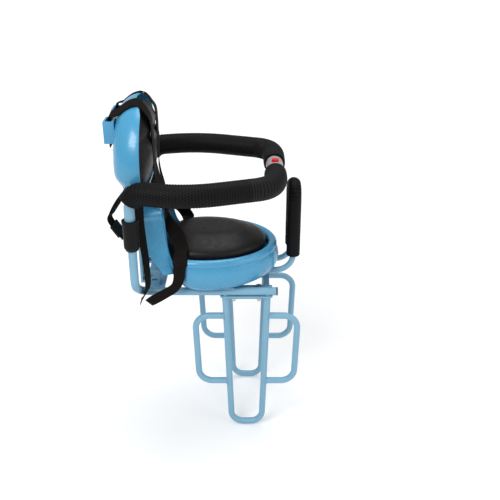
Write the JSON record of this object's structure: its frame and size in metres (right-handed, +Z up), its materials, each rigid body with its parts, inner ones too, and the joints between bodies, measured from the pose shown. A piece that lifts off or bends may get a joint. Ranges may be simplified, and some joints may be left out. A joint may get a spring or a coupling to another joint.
{
  "type": "rear child bike seat",
  "caption": "Child seat for a bicycle's rear rack: moulded seat and backrest with cushions, swinging padded gate arms with a latch, a grab handle, footrests and a harness.",
  "frame": {"origin": "middle of the four-bolt rack clamp, on the underside of the upper clamp plate, which lies on the rack", "axes": "+X towards the front of the bicycle, +Y to its left, +Z up"},
  "size_m": [0.3397, 0.3326, 0.6432],
  "materials": {
    "painted_steel": "satin",
    "blue_plastic": "gloss",
    "black_plastic": "matte",
    "grey_plastic": "satin",
    "red_plastic": "gloss",
    "foam": "matte",
    "cushion_vinyl": "satin",
    "webbing": "matte",
    "zinc_steel": "satin"
  },
  "bodies": {
    "frame": {"right_side_tube": "painted_steel", "left_side_tube": "painted_steel", "tube_end_plugs": "black_plastic", "upper_clamp_plate": "painted_steel", "lower_clamp_plates": "painted_steel", "clamp_bolts": "zinc_steel", "clamp_washers": "zinc_steel", "clamp_nuts": "zinc_steel", "right_footrest_stirrup": "painted_steel", "left_footrest_stirrup": "painted_steel", "right_footrest_loops": "painted_steel", "left_footrest_loops": "painted_steel", "front_cross_strap": "painted_steel", "handle_rod": "painted_steel", "handle_grip": "foam", "rear_bracket": "painted_steel", "back_struts": "painted_steel", "strut_bolts": "zinc_steel", "strut_nuts": "zinc_steel", "seat_shell": "blue_plastic", "seat_bolts": "zinc_steel", "seat_cushion": "cushion_vinyl", "back_shell": "blue_plastic", "back_cushion": "cushion_vinyl", "right_pivot_sleeve": "black_plastic", "left_pivot_sleeve": "black_plastic", "right_shoulder_belt": "webbing", "left_shoulder_belt": "webbing", "harness_buckle": "black_plastic", "right_lap_belt": "webbing", "left_lap_belt": "webbing", "right_rear_belt": "webbing", "left_rear_belt": "webbing", "belt_sliders": "black_plastic"},
    "right_arm": {"right_arm_tube": "painted_steel", "right_arm_foam": "foam", "latch_housing": "grey_plastic", "button_spring": "zinc_steel"},
    "left_arm": {"left_arm_tube": "painted_steel", "left_arm_foam": "foam", "latch_tongue": "grey_plastic"},
    "latch_button": {"release_button": "red_plastic"}
  },
  "joints": [
    {"name": "right_arm_swing", "type": "hinge", "parent": "frame", "child": "right_arm", "pos_m": [-0.193, -0.128, 0.18], "axis": [0, 0, -1], "range_deg": [0, 100]},
    {"name": "left_arm_swing", "type": "hinge", "parent": "frame", "child": "left_arm", "pos_m": [-0.193, 0.128, 0.18], "axis": [0, 0, 1], "range_deg": [0, 100]},
    {"name": "button_press", "type": "slide", "parent": "right_arm", "child": "latch_button", "axis": [0, 0, -1], "range_m": [0, 0.003], "stiffness_N_per_m": 300, "springref_m": -0.001, "deforming": ["button_spring"]}
  ]
}
